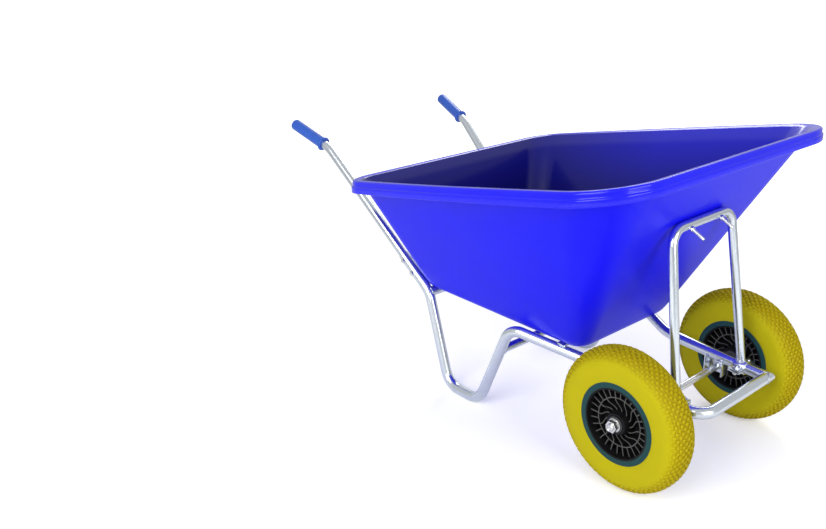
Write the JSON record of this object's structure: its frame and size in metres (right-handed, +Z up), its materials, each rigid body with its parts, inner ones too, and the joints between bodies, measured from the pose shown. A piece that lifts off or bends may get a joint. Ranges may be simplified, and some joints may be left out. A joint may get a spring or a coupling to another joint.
{
  "type": "wheelbarrow",
  "caption": "Two wheel wheelbarrow with a deep blue moulded tray, bent galvanised tube chassis with legs and a front hoop, blue grips and yellow puncture-proof tyres on dark ribbed rims",
  "frame": {"origin": "on the ground, under the middle of the whole barrow, on its middle plane", "axes": "+X points from the handles to the wheels, +Y to the left hand of the person pushing, +Z up"},
  "size_m": [1.6079, 0.996, 0.8784],
  "materials": {
    "tray_blue": "smooth moulded polyethylene with a soft sheen",
    "galvanised": "galvanised steel tube, bright with a faint spangle",
    "zinc": "bright zinc-plated fasteners",
    "grip_blue": "soft moulded plastic, slightly worn",
    "tyre_yellow": "matt solid foam rubber with a fine block tread",
    "rim_black": "matt moulded plastic, dark green-black",
    "bush_grey": "dark moulded bearing plastic"
  },
  "bodies": {
    "root": {"tray_floor": "tray_blue", "tray_wall_front": "tray_blue", "tray_wall_right": "tray_blue", "tray_wall_left": "tray_blue", "tray_wall_rear": "tray_blue", "tray_corner_front_right": "tray_blue", "tray_corner_front_left": "tray_blue", "tray_corner_rear_right": "tray_blue", "tray_corner_rear_left": "tray_blue", "chassis_tube_right": "galvanised", "chassis_tube_left": "galvanised", "leg_brace": "galvanised", "rear_crossbar": "galvanised", "tray_support_bar": "galvanised", "axle_bracket_right": "galvanised", "axle_bracket_left": "galvanised", "front_hoop": "galvanised", "hoop_saddle_right": "galvanised", "hoop_saddle_left": "galvanised", "hoop_strap_right": "galvanised", "hoop_strap_left": "galvanised", "hoop_clamp_bolts": "zinc", "hoop_clamp_nuts": "zinc", "hoop_tray_bolts": "zinc", "hoop_tray_washers": "zinc", "hoop_tray_nuts": "zinc", "handle_right": "galvanised", "handle_left": "galvanised", "grip_right": "grip_blue", "grip_left": "grip_blue", "handle_bolts": "zinc", "handle_nuts": "zinc", "tray_floor_bolts": "zinc", "tray_floor_washers": "zinc", "tray_floor_nuts": "zinc", "axle": "zinc", "axle_spacer_right": "zinc", "axle_spacer_left": "zinc", "axle_washers": "zinc", "axle_nuts": "zinc"},
    "wheel_right": {"tyre_right": "tyre_yellow", "rim_right": "rim_black", "hub_bushes_right": "bush_grey"},
    "wheel_left": {"tyre_left": "tyre_yellow", "rim_left": "rim_black", "hub_bushes_left": "bush_grey"}
  },
  "joints": [
    {"name": "wheel_right_spin", "type": "hinge", "parent": "root", "child": "wheel_right", "pos_m": [0.60399, -0.266, 0.2], "axis": [0, 1, 0], "continuous": true},
    {"name": "wheel_left_spin", "type": "hinge", "parent": "root", "child": "wheel_left", "pos_m": [0.60399, 0.266, 0.2], "axis": [0, 1, 0], "continuous": true}
  ]
}
